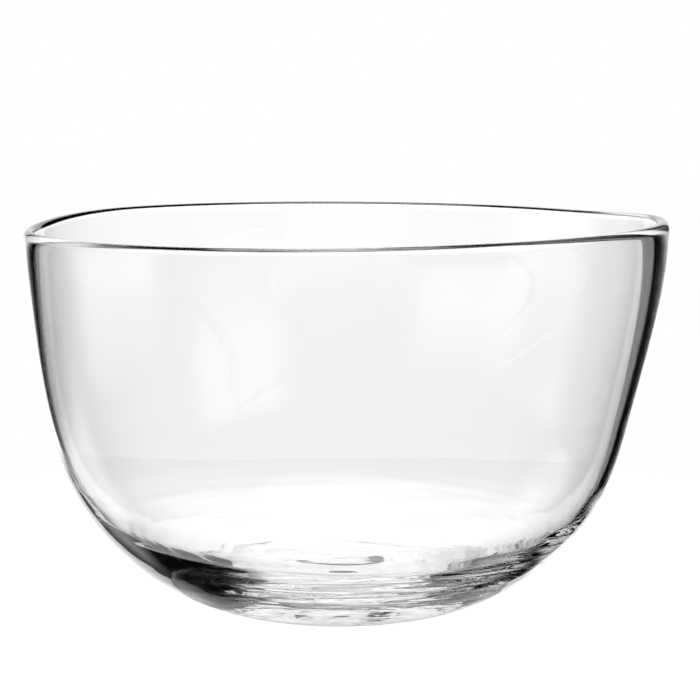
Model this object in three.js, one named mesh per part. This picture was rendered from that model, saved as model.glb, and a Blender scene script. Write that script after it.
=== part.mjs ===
// Punch bowl of clear mouth-blown glass: one open vessel with a heavy base, a ground foot
// with a polished pontil hollow under it, and a fire-polished lip.
// Units are millimetres and +Z is up. The origin is on the table, straight under the middle of the mouth,
// and +X points to the side where the lip stands a little higher.
import * as THREE from 'three';

// Driving dimensions
const MOUTH_RADIUS = 152.5;
const MOUTH_HEIGHT = 184;
const FOOT_RADIUS = 46;
const PONTIL_RADIUS = 22;
const PONTIL_DEPTH = 2.5;
const BASE_THICKNESS = 15;
const LIP_WALL = 6;
const LIP_ROUNDING = 4;

// The outside turns from base to wall at the belly, where the hollow narrows a little faster.
const BELLY_RADIUS = 129.5;
const BELLY_HEIGHT = 63;
const BELLY_SLOPE = THREE.MathUtils.degToRad(65.6);
const BELLY_WALL = 4.4;
const INNER_BELLY_SLOPE = THREE.MathUtils.degToRad(63.5);

// How far each curve runs on along its slope at an end: the longer the reach, the fuller the curve
const FOOT_REACH = 26;
const BELLY_REACH_DOWN = 43;
const BELLY_REACH_UP = 20.5;
const LIP_REACH = 24;
const INNER_LIP_REACH = 30;
const INNER_BELLY_REACH_UP = 22;
const INNER_BELLY_REACH_DOWN = 53;
const FLOOR_REACH = 60;

// Under the lip the outside swells and the inside draws in, and the floor dishes toward its middle.
const LIP_SWELL = 0.6;
const INNER_LIP_DRAW = 0.2;
const FLOOR_DISH = 1.3;

// Unevenness of hand work: how far the foot stands off the middle of the mouth, how far the lip's high
// side rises over its mean height, and how far the hollow is off the outside's middle
const FOOT_OFFSET = -3.1;
const LIP_RISE = 2.15;
const HOLLOW_OFFSET = -0.6;

// The heights between which the wall drifts over from the foot to the mouth, and the hollow off centre,
// how far back the lip has turned over, and how much of its rise it then has the other way
const DRIFT_START = 90;
const DRIFT_END = 165;
const HOLLOW_DRIFT_START = 30;
const HOLLOW_DRIFT_END = 90;
const TURNED_BACK = 107;
const BACK_RISE = 0.4;

// Facets around the bowl and along each stretch of its profile
const TURNS = 80;
const PONTIL_STEPS = 4;
const BASE_STEPS = 10;
const WALL_STEPS = 6;
const LIP_STEPS = 6;

// A curve's points after its first one, which the curve before it has already given
function pointsAfterStart(curve, steps) {
  return curve.getPoints(steps).slice(1);
}

// A point at a distance from another one, along a slope
function along(point, slope, distance) {
  return new THREE.Vector2(point.x + distance * Math.cos(slope), point.y + distance * Math.sin(slope));
}

// The underside: the polished hollow as a shallow arc, then the flat ring that the bowl stands on
function undersidePoints() {
  const radius = (PONTIL_RADIUS ** 2 + PONTIL_DEPTH ** 2) / (2 * PONTIL_DEPTH);
  const halfAngle = Math.asin(PONTIL_RADIUS / radius);
  const top = Math.PI / 2;
  const hollow = new THREE.EllipseCurve(0, PONTIL_DEPTH - radius, radius, radius, top, top - halfAngle, true);
  const points = hollow.getPoints(PONTIL_STEPS);
  points[0].x = 0;
  points[PONTIL_STEPS].y = 0;
  points.push(new THREE.Vector2(FOOT_RADIUS, 0));
  return points;
}

// The outside: a full, round base and belly, then a wall that still opens a little up to the lip
function outsidePoints() {
  const foot = new THREE.Vector2(FOOT_RADIUS, 0);
  const belly = new THREE.Vector2(BELLY_RADIUS, BELLY_HEIGHT);
  const lip = new THREE.Vector2(MOUTH_RADIUS, MOUTH_HEIGHT - LIP_ROUNDING);
  const pastFoot = along(foot, 0, FOOT_REACH);
  const underBelly = along(belly, BELLY_SLOPE, -BELLY_REACH_DOWN);
  const overBelly = along(belly, BELLY_SLOPE, BELLY_REACH_UP);
  const underLip = new THREE.Vector2(lip.x + LIP_SWELL, lip.y - LIP_REACH);
  const base = new THREE.CubicBezierCurve(foot, pastFoot, underBelly, belly);
  const wall = new THREE.CubicBezierCurve(belly, overBelly, underLip, lip);
  return [...pointsAfterStart(base, BASE_STEPS), ...pointsAfterStart(wall, WALL_STEPS)];
}

// The lip: half an oval from the outside over the rim to the inside
function lipPoints() {
  const middle = MOUTH_RADIUS - LIP_WALL / 2;
  const height = MOUTH_HEIGHT - LIP_ROUNDING;
  const lip = new THREE.EllipseCurve(middle, height, LIP_WALL / 2, LIP_ROUNDING, 0, Math.PI, false);
  return pointsAfterStart(lip, LIP_STEPS);
}

// The inside: down the wall, around the belly and across the thick base to the middle of the floor
function insidePoints() {
  const lip = new THREE.Vector2(MOUTH_RADIUS - LIP_WALL, MOUTH_HEIGHT - LIP_ROUNDING);
  const belly = new THREE.Vector2(BELLY_RADIUS - BELLY_WALL, BELLY_HEIGHT);
  const floor = new THREE.Vector2(0, BASE_THICKNESS);
  const underLip = new THREE.Vector2(lip.x - INNER_LIP_DRAW, lip.y - INNER_LIP_REACH);
  const overBelly = along(belly, INNER_BELLY_SLOPE, INNER_BELLY_REACH_UP);
  const underBelly = along(belly, INNER_BELLY_SLOPE, -INNER_BELLY_REACH_DOWN);
  const floorEdge = new THREE.Vector2(FLOOR_REACH, BASE_THICKNESS + FLOOR_DISH);
  const wall = new THREE.CubicBezierCurve(lip, underLip, overBelly, belly);
  const base = new THREE.CubicBezierCurve(belly, underBelly, floorEdge, floor);
  const points = [...pointsAfterStart(wall, WALL_STEPS), ...pointsAfterStart(base, BASE_STEPS)];
  points[points.length - 1].x = 0;
  return points;
}

function bowlShape() {
  const outer = [...undersidePoints(), ...outsidePoints()];
  const lip = lipPoints();
  const profile = [...outer, ...lip, ...insidePoints()];
  const shape = new THREE.LatheGeometry(profile, TURNS);
  shape.rotateX(Math.PI / 2);

  // Hand work: the wall drifts over above the foot, and the lip rises toward +X, and toward -X at the back
  const places = shape.getAttribute('position');
  for (let i = 0; i < places.count; i += 1) {
    const pastOuter = (i % profile.length) - (outer.length - 1);
    const inside = THREE.MathUtils.smoothstep(pastOuter, 0, lip.length);
    const x = places.getX(i);
    const z = places.getZ(i);
    const turned = (1 + BACK_RISE) * THREE.MathUtils.smoothstep(places.getY(i), 0, TURNED_BACK);
    const drift = THREE.MathUtils.smoothstep(z, DRIFT_START, DRIFT_END);
    const hollowDrift = inside * THREE.MathUtils.smoothstep(z, HOLLOW_DRIFT_START, HOLLOW_DRIFT_END);
    places.setX(i, x + FOOT_OFFSET * (1 - drift) + HOLLOW_OFFSET * hollowDrift);
    places.setZ(i, z + LIP_RISE * drift * (1 - turned) * (x / MOUTH_RADIUS));
  }
  shape.computeVertexNormals();
  return shape;
}

const clearGlass = new THREE.MeshStandardMaterial({
  name: 'clear_glass',
  color: 0xeef1f1,
  roughness: 0.03,
  metalness: 0,
  transparent: true,
  opacity: 0.3,
});

const bowl = new THREE.Mesh(bowlShape(), clearGlass);
bowl.name = 'bowl';

const punchBowl = new THREE.Group();
punchBowl.add(bowl);

export default punchBowl;
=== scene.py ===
# Punch bowl of clear glass, blown and turned by hand: one thick vessel with a heavy base, a ground foot,
# a polished hollow where the pontil rod was broken off, and a lip rounded in the fire.
# Everything is in metres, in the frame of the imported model: +Z up, the origin on the table.
import math

import bpy
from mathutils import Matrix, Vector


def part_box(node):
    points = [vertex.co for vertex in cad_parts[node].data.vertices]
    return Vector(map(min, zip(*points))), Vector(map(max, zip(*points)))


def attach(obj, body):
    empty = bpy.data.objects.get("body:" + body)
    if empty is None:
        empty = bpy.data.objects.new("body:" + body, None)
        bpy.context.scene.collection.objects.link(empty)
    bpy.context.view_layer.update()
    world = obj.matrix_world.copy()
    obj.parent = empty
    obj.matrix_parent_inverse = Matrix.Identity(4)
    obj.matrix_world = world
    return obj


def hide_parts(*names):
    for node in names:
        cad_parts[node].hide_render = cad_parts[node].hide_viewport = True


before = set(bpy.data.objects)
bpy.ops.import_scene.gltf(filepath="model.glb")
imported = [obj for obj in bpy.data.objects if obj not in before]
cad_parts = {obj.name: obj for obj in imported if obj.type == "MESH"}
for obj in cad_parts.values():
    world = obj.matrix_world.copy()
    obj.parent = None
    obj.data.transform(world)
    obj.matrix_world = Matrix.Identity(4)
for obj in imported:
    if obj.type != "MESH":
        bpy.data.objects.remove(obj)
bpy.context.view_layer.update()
low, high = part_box("bowl")

MM = 0.001

# Driving sizes of the bowl
LIP_WALL = 6 * MM
LIP_ROUNDING = 4 * MM
LIP_RISE = 2.15 * MM
MOUTH_RADIUS = (high.x - low.x) / 2
MOUTH_HEIGHT = high.z - LIP_RISE * (1 - LIP_WALL / 2 / MOUTH_RADIUS)
FOOT_RADIUS = 46 * MM
PONTIL_RADIUS = 22 * MM
PONTIL_DEPTH = 2.5 * MM
BASE_THICKNESS = 15 * MM

# The belly, where the base turns into the wall
BELLY_RADIUS = 129.5 * MM
BELLY_HEIGHT = 63 * MM
BELLY_SLOPE = math.radians(65.6)
BELLY_WALL = 4.4 * MM
INNER_BELLY_SLOPE = math.radians(63.5)

# How far each curve of the profile runs on along its slope at an end
FOOT_REACH = 26 * MM
BELLY_REACH_DOWN = 43 * MM
BELLY_REACH_UP = 20.5 * MM
LIP_REACH = 24 * MM
INNER_LIP_REACH = 30 * MM
INNER_BELLY_REACH_UP = 22 * MM
INNER_BELLY_REACH_DOWN = 53 * MM
FLOOR_REACH = 60 * MM
LIP_SWELL = 0.6 * MM
INNER_LIP_DRAW = 0.2 * MM
FLOOR_DISH = 1.3 * MM

# Hand work: the foot and the hollow stand a little off the middle of the mouth
FOOT_OFFSET = -3.1 * MM
HOLLOW_OFFSET = -0.6 * MM
DRIFT_START = 90 * MM
DRIFT_END = 165 * MM
HOLLOW_DRIFT_START = 30 * MM
HOLLOW_DRIFT_END = 90 * MM
TURNED_BACK = 107 * MM
BACK_RISE = 0.4

# Points around the bowl and along each stretch of the profile
TURNS = 240
PONTIL_STEPS = 24
RING_STEPS = 14
BASE_STEPS = 74
WALL_STEPS = 50
LIP_STEPS = 32
FLOOR_STEPS = 90

# The waves fade out between these heights
WAVES_START = 30 * MM
WAVES_END = 70 * MM

# Faint waves that the blowing left in the glass: height, length, where their rings are centred and a phase
FLOOR_WAVES = (
    (0.10 * MM, 13 * MM, 6 * MM, -4 * MM, 0.4),
    (0.05 * MM, 5.5 * MM, -3 * MM, 5 * MM, 1.9),
)
BASE_WAVES = (
    (0.07 * MM, 17 * MM, -8 * MM, 3 * MM, 2.6),
    (0.03 * MM, 7 * MM, 4 * MM, 6 * MM, 0.9),
)


# ---------------------------------------------------------------- mesh of the bowl

def bezier(start, first, second, end, steps):
    """Points along a Bezier curve, without its first one"""
    points = []
    for i in range(1, steps + 1):
        t = i / steps
        shares = ((1 - t) ** 3, 3 * t * (1 - t) ** 2, 3 * t * t * (1 - t), t ** 3)
        points.append(tuple(
            sum(share * p[axis] for share, p in zip(shares, (start, first, second, end)))
            for axis in (0, 1)
        ))
    return points


def along(point, slope, distance):
    return (point[0] + distance * math.cos(slope), point[1] + distance * math.sin(slope))


def smooth(value, start, end):
    t = min(max((value - start) / (end - start), 0), 1)
    return t * t * (3 - 2 * t)


def underside():
    """The polished hollow as a shallow arc, then the flat ring that the bowl stands on"""
    radius = (PONTIL_RADIUS ** 2 + PONTIL_DEPTH ** 2) / (2 * PONTIL_DEPTH)
    points = []
    for i in range(PONTIL_STEPS + 1):
        r = PONTIL_RADIUS * i / PONTIL_STEPS
        points.append((r, PONTIL_DEPTH - radius + math.sqrt(radius ** 2 - r ** 2)))
    for i in range(1, RING_STEPS + 1):
        points.append((PONTIL_RADIUS + (FOOT_RADIUS - PONTIL_RADIUS) * i / RING_STEPS, 0))
    return points


def outside():
    foot = (FOOT_RADIUS, 0)
    belly = (BELLY_RADIUS, BELLY_HEIGHT)
    lip = (MOUTH_RADIUS, MOUTH_HEIGHT - LIP_ROUNDING)
    past_foot = (FOOT_RADIUS + FOOT_REACH, 0)
    under_belly = along(belly, BELLY_SLOPE, -BELLY_REACH_DOWN)
    over_belly = along(belly, BELLY_SLOPE, BELLY_REACH_UP)
    under_lip = (MOUTH_RADIUS + LIP_SWELL, lip[1] - LIP_REACH)
    base = bezier(foot, past_foot, under_belly, belly, BASE_STEPS)
    wall = bezier(belly, over_belly, under_lip, lip, WALL_STEPS)
    return base + wall


def lip_edge():
    """Half an oval from the outside over the rim to the inside"""
    points = []
    for i in range(1, LIP_STEPS + 1):
        turn = math.pi * i / LIP_STEPS
        across = MOUTH_RADIUS - LIP_WALL / 2 * (1 - math.cos(turn))
        points.append((across, MOUTH_HEIGHT - LIP_ROUNDING * (1 - math.sin(turn))))
    return points


def inside():
    lip = (MOUTH_RADIUS - LIP_WALL, MOUTH_HEIGHT - LIP_ROUNDING)
    belly = (BELLY_RADIUS - BELLY_WALL, BELLY_HEIGHT)
    under_lip = (lip[0] - INNER_LIP_DRAW, lip[1] - INNER_LIP_REACH)
    over_belly = along(belly, INNER_BELLY_SLOPE, INNER_BELLY_REACH_UP)
    under_belly = along(belly, INNER_BELLY_SLOPE, -INNER_BELLY_REACH_DOWN)
    floor_edge = (FLOOR_REACH, BASE_THICKNESS + FLOOR_DISH)
    wall = bezier(lip, under_lip, over_belly, belly, WALL_STEPS)
    base = bezier(belly, under_belly, floor_edge, (0, BASE_THICKNESS), FLOOR_STEPS)
    return wall + base


def hand_work(r, z, turn, inner):
    """A profile point turned round the axis, with the unevenness of hand work"""
    x = r * math.cos(turn)
    y = r * math.sin(turn)
    drift = smooth(z, DRIFT_START, DRIFT_END)
    hollow_drift = inner * smooth(z, HOLLOW_DRIFT_START, HOLLOW_DRIFT_END)
    turned = (1 + BACK_RISE) * smooth(y, 0, TURNED_BACK)
    rise = LIP_RISE * drift * (1 - turned) * x / MOUTH_RADIUS
    if z < WAVES_END and (inner or r > FOOT_RADIUS):
        fade = 1 - smooth(z, WAVES_START, WAVES_END)
        if not inner:
            fade *= smooth(r, FOOT_RADIUS, FOOT_RADIUS + FOOT_REACH)
        for height, length, across, back, phase in (FLOOR_WAVES if inner else BASE_WAVES):
            rise += fade * height * math.sin(2 * math.pi * math.hypot(x - across, y - back) / length + phase)
    return (x + FOOT_OFFSET * (1 - drift) + HOLLOW_OFFSET * hollow_drift, y, z + rise)


def bowl_mesh():
    outer = underside() + outside()
    lip = lip_edge()
    profile = outer + lip + inside()
    points = [hand_work(0, profile[0][1], 0, 0)]
    faces = []
    for row, (r, z) in enumerate(profile[1:-1], start=1):
        inner = smooth(row, len(outer) - 1, len(outer) - 1 + len(lip))
        for k in range(TURNS):
            points.append(hand_work(r, z, 2 * math.pi * k / TURNS, inner))
    points.append(hand_work(0, profile[-1][1], 0, 1))
    last = len(points) - 1
    rows = len(profile) - 2
    for k in range(TURNS):
        following = (k + 1) % TURNS
        faces.append((0, 1 + following, 1 + k))
        for row in range(rows - 1):
            first = 1 + row * TURNS
            second = first + TURNS
            faces.append((first + k, first + following, second + following, second + k))
        faces.append((last - TURNS + k, last - TURNS + following, last))
    mesh = bpy.data.meshes.new("bowl_glass")
    mesh.from_pydata(points, [], faces)
    mesh.polygons.foreach_set("use_smooth", [True] * len(mesh.polygons))
    mesh.update()
    return mesh


# ---------------------------------------------------------------- materials

GLASS_INDEX = 1.52


def linear(hex_colour):
    """An sRGB hex colour as linear RGBA"""
    channels = []
    for i in (1, 3, 5):
        value = int(hex_colour[i:i + 2], 16) / 255
        channels.append(value / 12.92 if value <= 0.04045 else ((value + 0.055) / 1.055) ** 2.4)
    return (*channels, 1)


def add(tree, kind, inputs=None, **settings):
    """Adds a node. Each input takes a value, or another node's output to link to."""
    node = tree.nodes.new(kind)
    for name, value in settings.items():
        setattr(node, name, value)
    for socket, value in (inputs or {}).items():
        if isinstance(value, bpy.types.NodeSocket):
            tree.links.new(value, node.inputs[socket])
        else:
            node.inputs[socket].default_value = value
    return node


def blown_glass():
    """Clear soda glass, mouth-blown and fire-polished: without colour, and as smooth as a liquid, so that it
    bends and mirrors the room sharply"""
    material = bpy.data.materials.new("clear_soda_glass_blown_and_fire_polished")
    material.use_nodes = True
    tree = material.node_tree
    tree.nodes.clear()
    glass = add(tree, "ShaderNodeBsdfPrincipled", {
        "Base Color": linear("#ffffff"),
        "Roughness": 0.0,
        "IOR": GLASS_INDEX,
        "Transmission Weight": 1.0,
    })
    add(tree, "ShaderNodeOutputMaterial", {"Surface": glass.outputs[0]})
    return material


# ---------------------------------------------------------------- studio

CAMERA_DISTANCE = 1.1665
CAMERA_HEIGHT = 0.2693
CAMERA_SIDE = 0.0016
CAMERA_TILT = math.radians(7.166)
SENSOR = 36.0
LENS = 126.42

TABLE_RADIUS = 0.40
TABLE_GAP = 0.2 * MM
TABLE_SIDES = 128
TABLE_ROUGHNESS = 0.05
TABLE_GLOW = 0.93

# A painted shadow darkens what the glass sees of the table, by position, in front of the bowl's middle: how
# bright the table is in the painted shadow and elsewhere, and where the painted shadow ends, outward and
# toward the back
PAINTED_SHADOW = 0.4
LIT = 0.95
PAINTED_SHADOW_EDGE = (85 * MM, 125 * MM)
PAINTED_SHADOW_BACK = (-60 * MM, -20 * MM)

# Lit panels around the bowl, and the last one overhead: the heading that each is centred on (0 is behind
# the bowl), half its width, its lower and upper edge, its strength, and how soft its level and its side
# edges are. All but the strength are in degrees.
PANELS = (
    (-1.9, 19.4, -5, 41, 0.96, 3.0, 0.6),
    (-1.9, 19.4, 15, 41, 0.26, 12.0, 0.6),
    (-2.7, 22.0, -5, 41, 0.09, 3.0, 0.6),
    (180, 24, -5, 14, 0.3, 2.0, 0.6),
    (-90, 20, -5, 14, 0.95, 6.0, 16.0),
    (-45, 17, 16, 37, 0.95, 8.0, 14.0),
    (135, 20, 9, 23, 0.95, 6.0, 16.0),
    (0, 190, 68, 95, 0.9, 8.0, 0.6),
)
UNLIT = 0.002


def camera():
    data = bpy.data.cameras.new("camera")
    data.sensor_width = SENSOR
    data.lens = LENS
    eye = bpy.data.objects.new("camera", data)
    eye.location = (CAMERA_SIDE, -CAMERA_DISTANCE, CAMERA_HEIGHT)
    eye.rotation_euler = (math.pi / 2 - CAMERA_TILT, 0, 0)
    bpy.context.scene.collection.objects.link(eye)
    bpy.context.scene.camera = eye


def studio_light():
    """The camera sees a plain white room, and the glass sees lit panels. What it gathers from between them
    is nearly black, which draws its dark edges. Below the horizon the panels are there once more."""
    world = bpy.data.worlds.new("studio")
    bpy.context.scene.world = world
    world.use_nodes = True
    tree = world.node_tree
    tree.nodes.clear()
    place = add(tree, "ShaderNodeTexCoord")
    parts = add(tree, "ShaderNodeSeparateXYZ", {0: place.outputs["Generated"]})
    tilt = add(tree, "ShaderNodeMath", {0: parts.outputs["Z"]}, operation="ARCSINE")
    height = add(tree, "ShaderNodeMath", {0: tilt.outputs[0]}, operation="ABSOLUTE")
    level = add(tree, "ShaderNodeVectorMath", {0: place.outputs["Generated"], 1: (1, 1, 0)},
                operation="MULTIPLY")
    heading = add(tree, "ShaderNodeVectorMath", {0: level.outputs[0]}, operation="NORMALIZE")
    light = UNLIT
    for facing, half_width, bottom, top, strength, blur, side_blur in PANELS:
        turn = math.radians(facing)
        toward = add(tree, "ShaderNodeVectorMath", {
            0: heading.outputs[0],
            1: (math.sin(turn), math.cos(turn), 0),
        }, operation="DOT_PRODUCT")
        away = add(tree, "ShaderNodeMath", {0: toward.outputs["Value"]}, operation="ARCCOSINE")
        sides = add(tree, "ShaderNodeMapRange", {
            "Value": away.outputs[0],
            "From Min": math.radians(half_width - side_blur / 2),
            "From Max": math.radians(half_width + side_blur / 2),
            "To Min": strength,
            "To Max": 0,
        }, interpolation_type="SMOOTHSTEP")
        over_bottom = add(tree, "ShaderNodeMapRange", {
            "Value": height.outputs[0],
            "From Min": math.radians(bottom - blur / 2),
            "From Max": math.radians(bottom + blur / 2),
        }, interpolation_type="SMOOTHSTEP")
        under_top = add(tree, "ShaderNodeMapRange", {
            "Value": height.outputs[0],
            "From Min": math.radians(top - blur / 2),
            "From Max": math.radians(top + blur / 2),
            "To Min": 1,
            "To Max": 0,
        }, interpolation_type="SMOOTHSTEP")
        band = add(tree, "ShaderNodeMath", {0: over_bottom.outputs[0], 1: under_top.outputs[0]},
                   operation="MULTIPLY")
        panel = add(tree, "ShaderNodeMath", {0: sides.outputs[0], 1: band.outputs[0]}, operation="MULTIPLY")
        light = add(tree, "ShaderNodeMath", {0: panel.outputs[0], 1: light}, operation="ADD").outputs[0]
    path = add(tree, "ShaderNodeLightPath")
    strength = add(tree, "ShaderNodeMix", {
        "Factor": path.outputs["Is Camera Ray"],
        "A": light,
        "B": 1.0,
    })
    room = add(tree, "ShaderNodeBackground", {"Color": linear("#ffffff"), "Strength": strength.outputs[0]})
    add(tree, "ShaderNodeOutputWorld", {"Surface": room.outputs[0]})


def table():
    """A round table of polished white acrylic: the glass sees the room mirrored in it, darkened by a painted
    shadow in front of the bowl's middle, and the camera sees it plain and white"""
    points = [(0, 0, -TABLE_GAP)]
    for i in range(TABLE_SIDES):
        turn = 2 * math.pi * i / TABLE_SIDES
        points.append((TABLE_RADIUS * math.cos(turn), TABLE_RADIUS * math.sin(turn), -TABLE_GAP))
    faces = [(0, 1 + i, 1 + (i + 1) % TABLE_SIDES) for i in range(TABLE_SIDES)]
    mesh = bpy.data.meshes.new("table")
    mesh.from_pydata(points, [], faces)
    material = bpy.data.materials.new("white_acrylic_polished_with_painted_shadow")
    material.use_nodes = True
    tree = material.node_tree
    tree.nodes.clear()
    place = add(tree, "ShaderNodeTexCoord")
    away = add(tree, "ShaderNodeVectorMath", {0: place.outputs["Object"]}, operation="LENGTH")
    parts = add(tree, "ShaderNodeSeparateXYZ", {0: place.outputs["Object"]})
    # Painted shadow: the gloss colour is darkened near the middle and in front of it, by position alone
    painted_shadow_ranges = []
    for distance, (start, end) in ((away.outputs["Value"], PAINTED_SHADOW_EDGE), (parts.outputs["Y"], PAINTED_SHADOW_BACK)):
        painted_shadow_ranges.append(add(tree, "ShaderNodeMapRange", {
            "Value": distance,
            "From Min": start,
            "From Max": end,
            "To Min": PAINTED_SHADOW,
            "To Max": LIT,
        }, interpolation_type="SMOOTHSTEP").outputs[0])
    light = add(tree, "ShaderNodeMath", {0: painted_shadow_ranges[0], 1: painted_shadow_ranges[1]}, operation="MAXIMUM")
    gloss = add(tree, "ShaderNodeBsdfGlossy", {"Color": light.outputs[0], "Roughness": TABLE_ROUGHNESS})
    white = add(tree, "ShaderNodeBsdfDiffuse", {"Color": linear("#e7e7e7")})
    glow = add(tree, "ShaderNodeEmission", {"Strength": TABLE_GLOW})
    pale = add(tree, "ShaderNodeAddShader", {0: white.outputs[0], 1: glow.outputs[0]})
    path = add(tree, "ShaderNodeLightPath")
    surface = add(tree, "ShaderNodeMixShader", {
        0: path.outputs["Is Camera Ray"],
        1: gloss.outputs[0],
        2: pale.outputs[0],
    })
    add(tree, "ShaderNodeOutputMaterial", {"Surface": surface.outputs[0]})
    mesh.materials.append(material)
    floor = bpy.data.objects.new("table", mesh)
    bpy.context.scene.collection.objects.link(floor)


# ---------------------------------------------------------------- making

camera()

bowl = bpy.data.objects.new("bowl_glass", bowl_mesh())
bowl.data.materials.append(blown_glass())
bpy.context.scene.collection.objects.link(bowl)
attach(bowl, "root")
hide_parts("bowl")

studio_light()
table()

scene = bpy.context.scene
scene.view_settings.view_transform = "Standard"
# Light passes many times between the two skins of thick glass before it leaves
BOUNCES = 48
scene.cycles.max_bounces = BOUNCES
scene.cycles.glossy_bounces = BOUNCES
scene.cycles.transmission_bounces = BOUNCES
